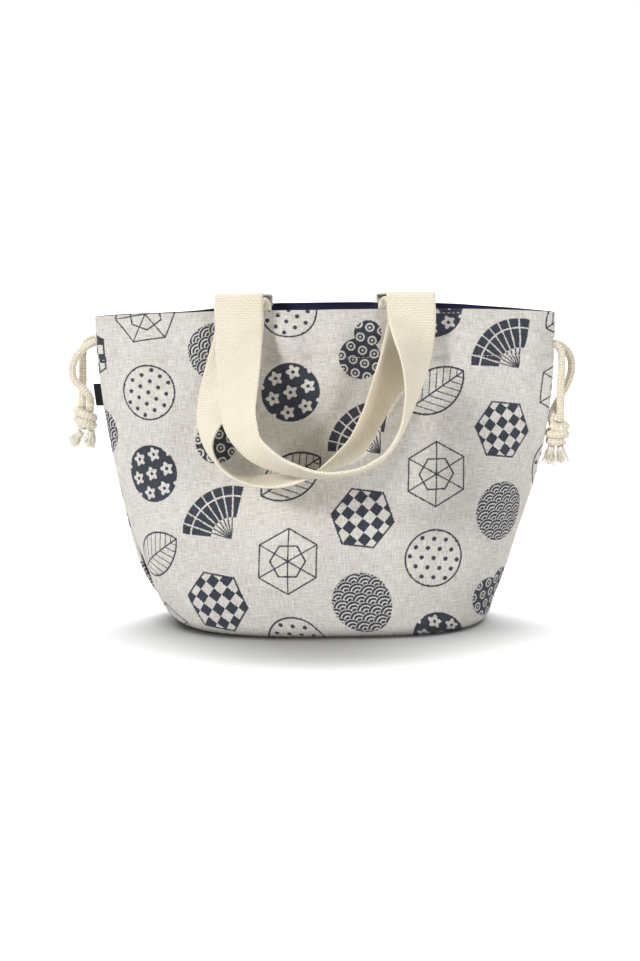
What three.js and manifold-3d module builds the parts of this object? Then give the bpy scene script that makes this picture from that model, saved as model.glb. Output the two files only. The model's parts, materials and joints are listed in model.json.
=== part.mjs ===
// A drawstring tote bag of printed linen-look cotton, open at the mouth and standing on its base.
// Millimetres, +Z up, +X to the right and -Y to the front. The origin is the centre of the base.
import * as THREE from "three";
import { mergeVertices } from "three/addons/utils/BufferGeometryUtils.js";
import Module from "manifold-3d";

// Driving dimensions: the standing bag
const bagHeight = 200;
const mouthHalfWidth = 144;
const mouthHalfDepth = 22;
const mouthShift = -3.5;
const baseHalfWidth = 100;
const baseHalfDepth = 63;
const footRadius = 9;
const seamHalfDepth = 5;
const leastHalfDepth = 0.4;
const cornerDroop = 4.8;
const droopHeightPower = 4;
const droopAcrossPower = 3;
const sideCurvePower = 2.2;
const faceCurvePower = 1.2;
const sideSag = -5;
const sagPower = 5;
const cornerFade = 1.5;
const mouthAcrossPower = 2;
const baseAcrossPower = 3.1;
const mouthDepthRoot = 1.15;
const baseDepthRoot = 2.1;

// Driving dimensions: cloth layers and the casing for the cords
const outerCloth = 1.2;
const liningCloth = 0.8;
const layerGap = 0.3;
const seamClearance = 0.6;
const casingDepth = 30;
const casingBlend = 14;
const cordDiameter = 5;
const cordClearance = 0.6;
const strandGap = 0.4;
const leftCordDrop = 16.5;
const rightCordDrop = 22;
const cordTurnSetback = 17;
const cordLead = 2;
const exitSlotDepth = 8;
const exitSlotMargin = 1.2;

// Driving dimensions: webbing handles
const webbingWidth = 30;
const webbingThickness = 2;
const handleSpacing = 106;
const rootInset = 5;
const tabLength = 9.5;
const tabRise = 2.3;
const frontFoldRadius = 4;
const backFoldRadius = 4;
const strapClearance = 0.7;
const jointGap = 0.3;
const loopDrop = 102;
const slopeBlend = 20;

// Driving dimensions: knots, tails and the side label
const knotSwell = 0.2;
const leftKnotCentre = new THREE.Vector3(-151.7, 0, 131);
const rightKnotCentre = new THREE.Vector3(146.1, -1, 118);
const tailLength = 12;
const tailFlare = 3.8;
const labelHeight = 14;
const labelReach = 5.4;
const labelThickness = 0.8;
const labelDrop = 53;

const wasm = await Module();
wasm.setup();

const linen = new THREE.MeshStandardMaterial({ color: 0xbfb8ab, roughness: 0.9 });
const navyCotton = new THREE.MeshStandardMaterial({ color: 0x252a38, roughness: 0.9 });
const creamWebbing = new THREE.MeshStandardMaterial({ color: 0xd8cfbd, roughness: 0.85 });
const creamCord = new THREE.MeshStandardMaterial({ color: 0xd3c8b2, roughness: 0.9 });
const blackRibbon = new THREE.MeshStandardMaterial({ color: 0x15161a, roughness: 0.6 });

const bag = new THREE.Group();

function addMesh(name, geometry, material) {
  const mesh = new THREE.Mesh(geometry, material);
  mesh.name = name;
  bag.add(mesh);
  return mesh;
}

// Booleans on closed geometries
function toSolid(geometry) {
  const bare = new THREE.BufferGeometry();
  bare.setAttribute("position", geometry.getAttribute("position").clone());
  if (geometry.index) bare.setIndex(geometry.index.clone());
  const merged = mergeVertices(bare, 1e-4);
  const mesh = new wasm.Mesh({
    numProp: 3,
    vertProperties: new Float32Array(merged.attributes.position.array),
    triVerts: new Uint32Array(merged.index.array),
  });
  return new wasm.Manifold(mesh);
}

function toGeometry(solid) {
  const mesh = solid.getMesh();
  const geometry = new THREE.BufferGeometry();
  geometry.setAttribute("position", new THREE.BufferAttribute(mesh.vertProperties, 3));
  geometry.setIndex(new THREE.BufferAttribute(mesh.triVerts, 1));
  geometry.computeVertexNormals();
  return geometry;
}

function placed(geometry, position, rotation = new THREE.Euler()) {
  const turn = new THREE.Quaternion().setFromEuler(rotation);
  const matrix = new THREE.Matrix4().compose(position, turn, new THREE.Vector3(1, 1, 1));
  return geometry.clone().applyMatrix4(matrix);
}

// The standing form: sections that change from an oval at the base to a lens at the mouth
function ramp(value, low, high) {
  const share = THREE.MathUtils.clamp((value - low) / (high - low), 0, 1);
  return share * share * (3 - 2 * share);
}

// The middle of a section: the mouth stands to the left of the base, and the cloth sags that way low down
function lean(z) {
  const height = z / bagHeight;
  const lowest = 1 / (sagPower + 1);
  const most = lowest * Math.pow(1 - lowest, sagPower);
  return mouthShift * height + (sideSag * height * Math.pow(1 - height, sagPower)) / most;
}

function footInset(z, floor) {
  const below = Math.max(0, footRadius - (z - floor));
  return footRadius - Math.sqrt(footRadius * footRadius - below * below);
}

function halfWidth(z) {
  return mouthHalfWidth - (mouthHalfWidth - baseHalfWidth) * Math.pow(1 - z / bagHeight, sideCurvePower);
}

function halfDepth(z) {
  return mouthHalfDepth + (baseHalfDepth - mouthHalfDepth) * (1 - Math.pow(z / bagHeight, faceCurvePower));
}

// Half of one section, seen as depth over width; insets move it inwards from the outer face
function section(z, widthInset, depthInset, floor = 0) {
  const level = Math.min(z, bagHeight);
  const foot = footInset(level, floor);
  const corner = Math.pow(1 - level / bagHeight, cornerFade);
  return {
    width: halfWidth(level) - foot - widthInset,
    depth: halfDepth(level) - foot - depthInset,
    end: Math.max(seamHalfDepth - depthInset, leastHalfDepth),
    acrossPower: THREE.MathUtils.lerp(mouthAcrossPower, baseAcrossPower, corner),
    depthPower: 1 / THREE.MathUtils.lerp(mouthDepthRoot, baseDepthRoot, corner),
  };
}

function depthAt(shape, x) {
  const share = Math.min(1, Math.abs(x) / shape.width);
  const bulge = Math.pow(1 - Math.pow(share, shape.acrossPower), shape.depthPower);
  return shape.end + (shape.depth - shape.end) * bulge;
}

// The front cloth's outer face
function frontFace(x, z) {
  return -depthAt(section(z, 0, 0), x - lean(z));
}

// The direction that the front cloth faces there; above the edge it faces straight to the front
function clothNormal(x, z) {
  const reach = 2;
  const slopeX = (frontFace(x + reach, z) - frontFace(x - reach, z)) / (2 * reach);
  const slopeZ = (frontFace(x, z) - frontFace(x, z - reach)) / reach;
  const hanging = ramp(bagHeight - z, 0, slopeBlend);
  return new THREE.Vector3(slopeX * hanging, -1, slopeZ * hanging).normalize();
}

function droop(share, z) {
  const atSeam = cornerDroop * Math.pow(z / bagHeight, droopHeightPower);
  return atSeam * Math.pow(Math.abs(share), droopAcrossPower);
}

// One row of points round half a section, evenly spaced along the cloth between the two side seams
function clothRow(z, shape, side, scale = 1) {
  const fine = 240;
  const samples = [];
  let length = 0;
  for (let i = 0; i <= fine; i++) {
    const x = -shape.width * Math.cos((Math.PI * i) / fine);
    const y = depthAt(shape, x);
    if (i > 0) length += Math.hypot(x - samples[i - 1].x, y - samples[i - 1].y);
    samples.push({ x, y, length });
  }
  const row = [];
  const put = (x, y) => {
    const drop = droop(x / shape.width, z);
    row.push(new THREE.Vector3(scale * x + lean(z), scale * side * y, z - drop));
  };
  put(-shape.width, 0);
  let next = 1;
  for (let column = 0; column <= clothColumns; column++) {
    const wanted = (length * column) / clothColumns;
    while (next < fine && samples[next].length < wanted) next++;
    const before = samples[next - 1];
    const after = samples[next];
    const share = THREE.MathUtils.clamp((wanted - before.length) / (after.length - before.length), 0, 1);
    put(before.x + share * (after.x - before.x), before.y + share * (after.y - before.y));
  }
  put(shape.width, 0);
  return row;
}

// A closed shell between two grids of rows whose last rows shrink to one point on the base
function shell(outerRows, outerCentre, innerRows, innerCentre) {
  const points = [];
  const faces = [];
  const columns = outerRows[0].length;
  const place = (rows) => {
    const start = points.length;
    rows.forEach((row) => points.push(...row));
    return (row, column) => start + row * columns + column;
  };
  const outer = place(outerRows);
  const inner = place(innerRows);
  const outerMiddle = points.push(outerCentre) - 1;
  const innerMiddle = points.push(innerCentre) - 1;
  const quad = (a, b, c, d) => faces.push(a, b, c, a, c, d);
  const last = outerRows.length - 1;
  for (let row = 0; row < last; row++) {
    for (let column = 0; column < columns - 1; column++) {
      quad(outer(row, column), outer(row + 1, column), outer(row + 1, column + 1), outer(row, column + 1));
      quad(inner(row, column), inner(row, column + 1), inner(row + 1, column + 1), inner(row + 1, column));
    }
    quad(outer(row, 0), inner(row, 0), inner(row + 1, 0), outer(row + 1, 0));
    const end = columns - 1;
    quad(outer(row, end), outer(row + 1, end), inner(row + 1, end), inner(row, end));
  }
  for (let column = 0; column < columns - 1; column++) {
    faces.push(outer(last, column), outerMiddle, outer(last, column + 1));
    faces.push(inner(last, column), inner(last, column + 1), innerMiddle);
    quad(outer(0, column), outer(0, column + 1), inner(0, column + 1), inner(0, column));
  }
  quad(outer(last, 0), inner(last, 0), innerMiddle, outerMiddle);
  quad(outer(last, columns - 1), outerMiddle, innerMiddle, inner(last, columns - 1));
  return closedGeometry(points, faces);
}

// Points and triangles as a geometry whose faces point out
function closedGeometry(points, faces) {
  let volume = 0;
  for (let i = 0; i < faces.length; i += 3) {
    const [a, b, c] = [points[faces[i]], points[faces[i + 1]], points[faces[i + 2]]];
    volume += a.dot(new THREE.Vector3().crossVectors(b, c));
  }
  const turned = [];
  for (let i = 0; i < faces.length; i += 3) {
    const [a, b, c] = faces.slice(i, i + 3);
    turned.push(a, volume > 0 ? b : c, volume > 0 ? c : b);
  }
  const geometry = new THREE.BufferGeometry().setFromPoints(points);
  geometry.setIndex(turned);
  geometry.computeVertexNormals();
  return geometry;
}

// Rows from the mouth down the wall, round the foot and over the base, for one face of a cloth layer
function layerRows(levels, floor, insets, side) {
  const rows = levels.map((share) => {
    const z = floor + share * (bagHeight - floor);
    const [widthInset, depthInset] = insets(z);
    return clothRow(z, section(z, widthInset, depthInset, floor), side);
  });
  const [widthInset, depthInset] = insets(floor);
  const base = section(floor, widthInset, depthInset, floor);
  for (const scale of [0.72, 0.36]) rows.push(clothRow(floor, base, side, scale));
  return rows;
}

const clothColumns = 24;
const wallLevels = [1, 0.95, 0.9, 0.85, 0.78, 0.68, 0.55, 0.4, 0.25, 0.12];
const footLevels = [0.045, 0.02, 0.006, 0];
const panelLevels = [...wallLevels, ...footLevels];

function clothPanel(floor, thickness, insets, side) {
  const inside = (z) => insets(z).map((inset) => inset + thickness);
  const outerRows = layerRows(panelLevels, floor, insets, side);
  const innerRows = layerRows(panelLevels, floor + thickness, inside, side);
  const outerCentre = new THREE.Vector3(0, 0, floor);
  const innerCentre = new THREE.Vector3(0, 0, floor + thickness);
  return shell(outerRows, outerCentre, innerRows, innerCentre);
}

// Outer panels: each is a face, half of both sides and half of the base in one piece of printed cloth
const cordLevels = { left: bagHeight - leftCordDrop, right: bagHeight - rightCordDrop };
const strandSpacing = cordDiameter + strandGap;
const exitSlotHeight = cordDiameter + 2 * exitSlotMargin;
const exitSlotWidth = strandSpacing + cordDiameter + 2 * strandGap;

function exitSlot(side, cordLevel) {
  const level = cordLevel - droop(1, cordLevel);
  const outwards = 2 * exitSlotDepth;
  const box = new THREE.BoxGeometry(outwards, exitSlotWidth, exitSlotHeight);
  return placed(box, new THREE.Vector3(mouthShift + side * mouthHalfWidth, 0, level));
}

// The label's place on the left side seam, which leans a little
const labelLevel = bagHeight - labelDrop;
const labelSeam = lean(labelLevel) - halfWidth(labelLevel);
const seamRun = halfWidth(labelLevel + 1) + lean(labelLevel) - halfWidth(labelLevel) - lean(labelLevel + 1);
const labelTilt = new THREE.Euler(0, -Math.atan(seamRun), 0);
const labelPlace = new THREE.Vector3(labelSeam, 0, labelLevel - droop(1, labelLevel));

function labelSlot() {
  const size = [4 * outerCloth, labelThickness + 2 * layerGap, labelHeight + 2 * layerGap];
  return placed(new THREE.BoxGeometry(...size), labelPlace, labelTilt);
}

const outerInsets = () => [0, 0];
const cuts = [
  exitSlot(-1, cordLevels.left),
  exitSlot(1, cordLevels.right),
  labelSlot(),
];
for (const [name, side] of [["outer_front_panel", -1], ["outer_back_panel", 1]]) {
  let panel = toSolid(clothPanel(0, outerCloth, outerInsets, side));
  for (const cut of cuts) panel = panel.subtract(toSolid(cut));
  addMesh(name, toGeometry(panel), linen);
}

// Lining: hangs inside the outer cloth and stands off it behind the casing, where the cords run
const liningFloor = outerCloth + layerGap;
const edgeInset = outerCloth + layerGap + webbingThickness + layerGap;
const casingInset = outerCloth + cordDiameter + 2 * cordClearance;

function liningInsets(z) {
  const casingFoot = bagHeight - casingDepth;
  const casing = ramp(z, casingFoot - casingBlend, casingFoot);
  const edge = ramp(z, bagHeight - tabLength, bagHeight);
  const inCasing = casingInset + (edgeInset - casingInset) * edge;
  const depthInset = liningFloor + (inCasing - liningFloor) * casing;
  const widthInset = liningFloor + seamClearance + (cordTurnSetback - liningFloor) * casing;
  return [widthInset, depthInset];
}

for (const [name, side] of [["lining_front_panel", -1], ["lining_back_panel", 1]]) {
  addMesh(name, clothPanel(liningFloor, liningCloth, liningInsets, side), navyCotton);
}

// Round cord along a route, eight-sided
function cordTube(points, diameter, steps) {
  const outline = new THREE.Shape();
  for (let corner = 0; corner < 8; corner++) {
    const angle = (Math.PI * corner) / 4;
    const [x, y] = [Math.cos(angle) * diameter / 2, Math.sin(angle) * diameter / 2];
    if (corner === 0) outline.moveTo(x, y);
    else outline.lineTo(x, y);
  }
  const path = new THREE.CatmullRomCurve3(points, false, "centripetal");
  return new THREE.ExtrudeGeometry(outline, { steps, extrudePath: path, bevelEnabled: false });
}

// Drawcord runs: each cord goes round the casing, turns at the far side and leaves at its own side seam
const cordInset = outerCloth + cordClearance + cordDiameter / 2;

function cordPlace(across, y, level) {
  const z = level - droop(across / section(level, 0, 0).width, level);
  return new THREE.Vector3(mouthShift + across, y, z);
}

function cordExitAt(level) {
  return section(level, 0, 0).width - exitSlotDepth;
}

function cordRun(side, level) {
  const shape = section(level, 0, 0);
  const exitAt = cordExitAt(level);
  const turnAt = shape.width - cordTurnSetback;
  const runSteps = 16;
  const exitBunching = 1.6;
  const half = [[side * exitAt, strandSpacing / 2]];
  for (let step = 0; step <= runSteps; step++) {
    const fromExit = cordLead + (exitAt + turnAt - cordLead) * Math.pow(step / runSteps, exitBunching);
    const along = depthAt(shape, exitAt - fromExit) - cordInset;
    const spread = ramp(fromExit, cordLead, cordLead + cordTurnSetback - exitSlotDepth);
    const y = strandSpacing / 2 + (along - strandSpacing / 2) * spread;
    half.push([side * (exitAt - fromExit), y]);
  }
  const turnRadius = half[half.length - 1][1];
  const turn = [-60, -30, 0, 30, 60].map((angle) => {
    const radians = THREE.MathUtils.degToRad(angle);
    return [-side * (turnAt + turnRadius * Math.cos(radians)), turnRadius * Math.sin(radians)];
  });
  const front = half.map(([across, y]) => [across, -y]);
  return [...front, ...turn, ...half.reverse()].map(([across, y]) => cordPlace(across, y, level));
}

addMesh("left_cord_run", cordTube(cordRun(-1, cordLevels.left), cordDiameter, 46), creamCord);
addMesh("right_cord_run", cordTube(cordRun(1, cordLevels.right), cordDiameter, 46), creamCord);

// Free strands, from just inside the side seam down to the knot, as they hang
const knotHalfHeight = 1.5 * cordDiameter;
const strandRoutes = {
  left_front_strand: [
    [-144, -2.7, 180], [-149, -2.8, 179], [-154.7, -3.2, 176], [-160.2, -3.7, 170.4], [-162.9, -4.2, 163.4],
    [-162.6, -4.5, 157.4], [-160.2, -4.6, 153.6], [-155.5, -4.2, 148.9], [-153.2, -2.6, 145.4],
  ],
  left_back_strand: [
    [-144, 2.7, 180.3], [-148.5, 2.8, 180.9], [-152.9, 2.9, 179.6], [-155.9, 3, 176.2], [-157, 3, 171.4],
    [-157.2, 2.9, 165], [-157.3, 2.6, 158.5], [-157.5, 2, 152], [-157.8, 1, 146],
  ],
  right_front_strand: [
    [138.9, -2.7, 175.05], [142.7, -2.8, 173.9], [145.1, -3, 170.3], [145.6, -3.3, 163.5],
    [145.2, -3.5, 154], [145, -3.2, 144], [145.3, -1.9, 134.5],
  ],
  right_back_strand: [
    [139.5, 2.7, 175.1], [144.5, 2.8, 174], [149.4, 3, 170.5], [152.4, 3.3, 164.5],
    [152.6, 3.7, 156.5], [149.8, 4.1, 148], [145.6, 4, 140.2], [141.6, 2.4, 132.8],
  ],
};

for (const [name, route] of Object.entries(strandRoutes)) {
  const [hand, layer] = name.split("_");
  const side = hand === "left" ? -1 : 1;
  const knot = hand === "left" ? leftKnotCentre : rightKnotCentre;
  const front = layer === "front" ? -1 : 1;
  const level = cordLevels[hand];
  const y = (front * strandSpacing) / 2;
  const start = cordPlace(side * (cordExitAt(level) + jointGap), y, level);
  const top = new THREE.Vector3(mouthShift, 0, knotHalfHeight + jointGap).add(knot);
  top.x -= (front * strandSpacing) / 2;
  const above = top.clone().setZ(top.z + 3);
  const points = [start, ...route.map((place) => new THREE.Vector3(...place)), above, top];
  addMesh(name, cordTube(points, cordDiameter, 16), creamCord);
}

// Overhand knots: one strand winds twice round the other; routes are in cord diameters from the centre
const knotTurn = [
  [0.54, 0, 1.5], [0.54, 0, 1.25], [0.4, 0.46, 0.9], [-0.2, 0.8, 0.78], [-0.84, 0.36, 0.92],
  [-0.76, -0.5, 0.84], [0, -0.86, 0.52], [0.76, -0.5, 0.14], [0.86, 0.34, -0.06], [0.2, 0.8, -0.04],
  [-0.6, 0.64, 0], [-0.88, 0, -0.13], [-0.6, -0.66, -0.34], [0.1, -0.86, -0.64], [0.78, -0.46, -0.9],
  [0.7, 0.28, -1], [0.12, 0.34, -1], [-0.42, 0.08, -1.1], [-0.54, 0, -1.3], [-0.54, 0, -1.5],
];
const knotSecondStrand = [
  [-0.54, 0, 1.5], [-0.54, 0, 1.25], [-0.24, 0.06, 0.7], [0, 0.08, 0], [0.3, 0, -0.8],
  [0.54, 0, -1.28], [0.54, 0, -1.5],
];

function knot() {
  const route = (places) => places.map((place) => new THREE.Vector3(...place).multiplyScalar(cordDiameter));
  const turn = route(knotTurn);
  const stretches = [route(knotSecondStrand)];
  for (let first = 0; first < turn.length - 2; first += 3) stretches.push(turn.slice(first, first + 5));
  const tubes = stretches.map((points) => {
    return toSolid(cordTube(points, cordDiameter + knotSwell, points.length));
  });
  return toGeometry(tubes.reduce((whole, tube) => whole.add(tube)));
}

// Frayed tails: short cord ends that open into a tuft
function tail(start, direction) {
  const profile = [
    [0, 0],
    [cordDiameter / 2, 0],
    [cordDiameter / 2 + 0.2, tailLength * 0.35],
    [tailFlare - 0.4, tailLength * 0.7],
    [tailFlare, tailLength * 0.94],
    [0, tailLength],
  ];
  const outline = profile.map(([radius, height]) => new THREE.Vector2(radius, height));
  const turn = new THREE.Quaternion().setFromUnitVectors(new THREE.Vector3(0, 1, 0), direction);
  const matrix = new THREE.Matrix4().compose(start, turn, new THREE.Vector3(1, 1, 1));
  return new THREE.LatheGeometry(outline, 10).applyMatrix4(matrix);
}

const tailSpread = { left: [-0.8, -0.15], right: [-0.16, 0.22] };
const knotFacing = { left: 0, right: Math.PI };
for (const [hand, centre] of [["left", leftKnotCentre], ["right", rightKnotCentre]]) {
  const place = centre.clone().add(new THREE.Vector3(mouthShift, 0, 0));
  const facing = new THREE.Euler(0, 0, knotFacing[hand]);
  addMesh(hand + "_knot", placed(knot(), place, facing), creamCord);
  [-1, 1].forEach((side, index) => {
    const below = -(knotHalfHeight + jointGap);
    const start = place.clone().add(new THREE.Vector3((side * strandSpacing) / 2, 0, below));
    const direction = new THREE.Vector3(tailSpread[hand][index], 0, -1).normalize();
    start.addScaledVector(direction, (cordDiameter / 2) * Math.hypot(direction.x, direction.y));
    addMesh(hand + (index ? "_inner_tail" : "_outer_tail"), tail(start, direction), creamCord);
  });
}

// A strap of webbing lofted through stations, each a centre and the directions along and across it
function webbing(stations) {
  const points = [];
  const faces = [];
  stations.forEach(({ centre, along, across }) => {
    const level = across.clone().addScaledVector(along, -across.dot(along)).normalize();
    const through = new THREE.Vector3().crossVectors(along, level);
    for (const [width, depth] of [[-1, -1], [1, -1], [1, 1], [-1, 1]]) {
      const corner = centre.clone();
      corner.addScaledVector(level, (width * webbingWidth) / 2);
      corner.addScaledVector(through, (depth * webbingThickness) / 2);
      points.push(corner);
    }
  });
  const last = 4 * (stations.length - 1);
  for (let base = 0; base < last; base += 4) {
    for (let corner = 0; corner < 4; corner++) {
      const next = (corner + 1) % 4;
      faces.push(base + corner, base + next, base + 4 + next);
      faces.push(base + corner, base + 4 + next, base + 4 + corner);
    }
  }
  faces.push(0, 2, 1, 0, 3, 2, last, last + 1, last + 2, last, last + 2, last + 3);
  return closedGeometry(points, faces);
}

// Where the straps bend: over the front edge, one over the other, and over the back edge
const rootAcross = handleSpacing / 2;
const sewnAcross = rootAcross - rootInset;
const rootShape = section(bagHeight, 0, 0);
const tabInset = outerCloth + layerGap + webbingThickness / 2;
const frontTab = -(depthAt(rootShape, sewnAcross) - tabInset);
const backTab = -frontTab;
const tabTop = bagHeight + tabRise;
const frontFold = { y: frontTab - frontFoldRadius, z: tabTop, radius: frontFoldRadius };
const overFold = { y: frontFold.y, z: tabTop, radius: frontFoldRadius + webbingThickness + strapClearance };
const backFold = { y: backTab - backFoldRadius, z: tabTop, radius: backFoldRadius };
const bridgeSpan = backFold.y - overFold.y;
const bridgeSlope = Math.asin((overFold.radius - backFold.radius) / bridgeSpan);

function onFold(fold, angle) {
  return { y: fold.y + fold.radius * Math.cos(angle), z: fold.z + fold.radius * Math.sin(angle) };
}

// A strap end follows the edge of the mouth, which is at a slant where the handles are sewn. The sewn ends
// sit closer together than the straps hang, so each strap slants as it folds over the edge
const edgeStep = 1;
const edgeSlant = (depthAt(rootShape, sewnAcross - edgeStep) - depthAt(rootShape, sewnAcross + edgeStep))
  / (2 * edgeStep);

function rootStation(side, slant, inset, y, z, along) {
  const centre = new THREE.Vector3(mouthShift + side * (rootAcross - inset), y, z);
  return { centre, along, across: new THREE.Vector3(1, side * slant, 0).normalize() };
}

function foldStrap(side, slant, insets, fold, from, to) {
  const gapAngle = jointGap / 2 / fold.radius;
  const steps = 8;
  const stations = [];
  for (let step = 0; step <= steps; step++) {
    const angle = from + gapAngle + ((to - from - 2 * gapAngle) * step) / steps;
    const { y, z } = onFold(fold, angle);
    const ease = (angle - from) / (to - from);
    const along = new THREE.Vector3(0, -Math.sin(angle), Math.cos(angle));
    const inset = THREE.MathUtils.lerp(...insets, ease);
    stations.push(rootStation(side, slant * (1 - ease), inset, y, z, along));
  }
  return webbing(stations);
}

function tabStrap(side, slant, y) {
  const up = new THREE.Vector3(0, 0, 1);
  const low = rootStation(side, slant, rootInset, y, bagHeight - tabLength, up);
  const high = rootStation(side, slant, rootInset, y, tabTop - jointGap / 2, up);
  return webbing([low, high]);
}

function bridgeStrap(side) {
  const lift = Math.PI / 2 - bridgeSlope;
  const back = onFold(backFold, lift);
  const front = onFold(overFold, lift);
  const along = new THREE.Vector3(0, front.y - back.y, front.z - back.z).normalize();
  const inset = along.clone().multiplyScalar(jointGap / 2);
  return webbing([
    rootStation(side, 0, rootInset, back.y + inset.y, back.z + inset.z, along),
    rootStation(side, 0, 0, front.y - inset.y, front.z - inset.z, along),
  ]);
}

for (const [hand, side] of [["left", -1], ["right", 1]]) {
  const lift = Math.PI / 2 - bridgeSlope;
  const frontBend = foldStrap(side, edgeSlant, [rootInset, 0], frontFold, 0, Math.PI);
  const backBend = foldStrap(side, -edgeSlant, [rootInset, rootInset], backFold, 0, lift);
  const overBend = foldStrap(side, 0, [0, 0], overFold, lift, Math.PI);
  addMesh(`front_handle_${hand}_tab`, tabStrap(side, edgeSlant, frontTab), creamWebbing);
  addMesh(`front_handle_${hand}_fold`, frontBend, creamWebbing);
  addMesh(`rear_handle_${hand}_tab`, tabStrap(side, -edgeSlant, backTab), creamWebbing);
  addMesh(`rear_handle_${hand}_back_fold`, backBend, creamWebbing);
  addMesh(`rear_handle_${hand}_bridge`, bridgeStrap(side), creamWebbing);
  addMesh(`rear_handle_${hand}_front_fold`, overBend, creamWebbing);
}

// Handle loops as they lie over the front. Each row gives the strap's place across the mouth in halves of
// the handle spacing, its drop below the mouth's edge as a share of the loops' drop, how far its nearer edge
// is off the cloth in strap widths, and its turn: flat at 180 degrees, standing out from the cloth at 90.
const flatTurn = 180;
const frontLoopRows = [
  [-1, 0.12, 0.04, 180], [-1.1, 0.32, 0.04, 177], [-1.24, 0.53, 0.045, 160], [-1.33, 0.69, 0.05, 130],
  [-1.32, 0.82, 0.06, 108], [-1.18, 0.92, 0.06, 93], [-0.93, 0.98, 0.06, 79], [-0.65, 0.995, 0.06, 72],
  [-0.38, 0.98, 0.06, 74], [-0.17, 0.952, 0.06, 83], [0.01, 0.91, 0.06, 94], [0.19, 0.855, 0.06, 105],
  [0.37, 0.775, 0.06, 114], [0.53, 0.63, 0.055, 119], [0.68, 0.46, 0.05, 129], [0.86, 0.29, 0.045, 152],
  [1, 0.11, 0.04, 178],
];
const rearLoopRows = [
  [-1, 0.12, 0.17, 176], [-1, 0.34, 0.4, 162], [-0.99, 0.53, 0.83, 150], [-0.93, 0.66, 1.02, 136],
  [-0.8, 0.77, 1.02, 120], [-0.55, 0.85, 1.02, 106], [-0.28, 0.893, 1.08, 97], [-0.02, 0.912, 1.14, 91],
  [0.26, 0.902, 1.1, 90], [0.47, 0.87, 0.98, 91], [0.67, 0.81, 0.78, 93], [0.83, 0.7, 0.54, 98],
  [0.94, 0.54, 0.38, 108], [1, 0.36, 0.28, 128], [1.01, 0.12, 0.16, 165],
];

function loopStrap(rows, hangY, steps) {
  const places = [new THREE.Vector3(mouthShift - rootAcross, hangY, tabTop - jointGap / 2)];
  const turns = [new THREE.Vector3(flatTurn, 0, 0)];
  for (const [share, drop, off, turn] of rows) {
    const x = mouthShift + share * rootAcross;
    const z = bagHeight - drop * loopDrop;
    const standing = Math.abs(Math.sin(THREE.MathUtils.degToRad(turn))) / 2;
    const y = frontFace(x, z) - (off + standing) * webbingWidth - webbingThickness / 2;
    places.push(new THREE.Vector3(x, y, z));
    turns.push(new THREE.Vector3(turn, 0, 0));
  }
  places.push(new THREE.Vector3(mouthShift + rootAcross, hangY, tabTop - jointGap / 2));
  turns.push(new THREE.Vector3(flatTurn, 0, 0));
  const route = new THREE.CatmullRomCurve3(places, false, "catmullrom", 0.5);
  const turning = new THREE.CatmullRomCurve3(turns, false, "catmullrom", 0.5);
  const stations = [];
  for (let step = 0; step <= steps; step++) {
    const centre = route.getPoint(step / steps);
    const along = route.getTangent(step / steps);
    if (step === 0) along.set(0, 0, -1);
    if (step === steps) along.set(0, 0, 1);
    const outwards = clothNormal(centre.x, centre.z);
    const flat = new THREE.Vector3().crossVectors(along, outwards).normalize();
    const standing = outwards.clone().addScaledVector(along, -along.dot(outwards)).normalize();
    const angle = THREE.MathUtils.degToRad(turning.getPoint(step / steps).x);
    const across = flat.multiplyScalar(Math.cos(angle)).addScaledVector(standing, Math.sin(angle));
    stations.push({ centre, along, across });
  }
  return webbing(stations);
}

const frontHang = frontFold.y - frontFold.radius;
const rearHang = overFold.y - overFold.radius;
addMesh("front_handle_loop", loopStrap(frontLoopRows, frontHang, 60), creamWebbing);
addMesh("rear_handle_loop", loopStrap(rearLoopRows, rearHang, 60), creamWebbing);

// Side label: a folded ribbon sewn into the left side seam
function foldedLabel() {
  const half = labelThickness / 2;
  const outline = new THREE.Shape();
  outline.moveTo(outerCloth - layerGap, -half);
  outline.lineTo(outerCloth - layerGap, half);
  outline.lineTo(half - labelReach, half);
  outline.absarc(half - labelReach, 0, half, Math.PI / 2, (3 * Math.PI) / 2, false);
  outline.lineTo(outerCloth - layerGap, -half);
  const settings = { depth: labelHeight, bevelEnabled: false, curveSegments: 6 };
  const ribbon = new THREE.ExtrudeGeometry(outline, settings);
  return ribbon.translate(0, 0, -labelHeight / 2);
}

addMesh("side_label", placed(foldedLabel(), labelPlace, labelTilt), blackRibbon);

export default bag;
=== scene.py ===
import json
import math
import random

import bmesh
import bpy
import numpy as np
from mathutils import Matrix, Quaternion, Vector

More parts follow.
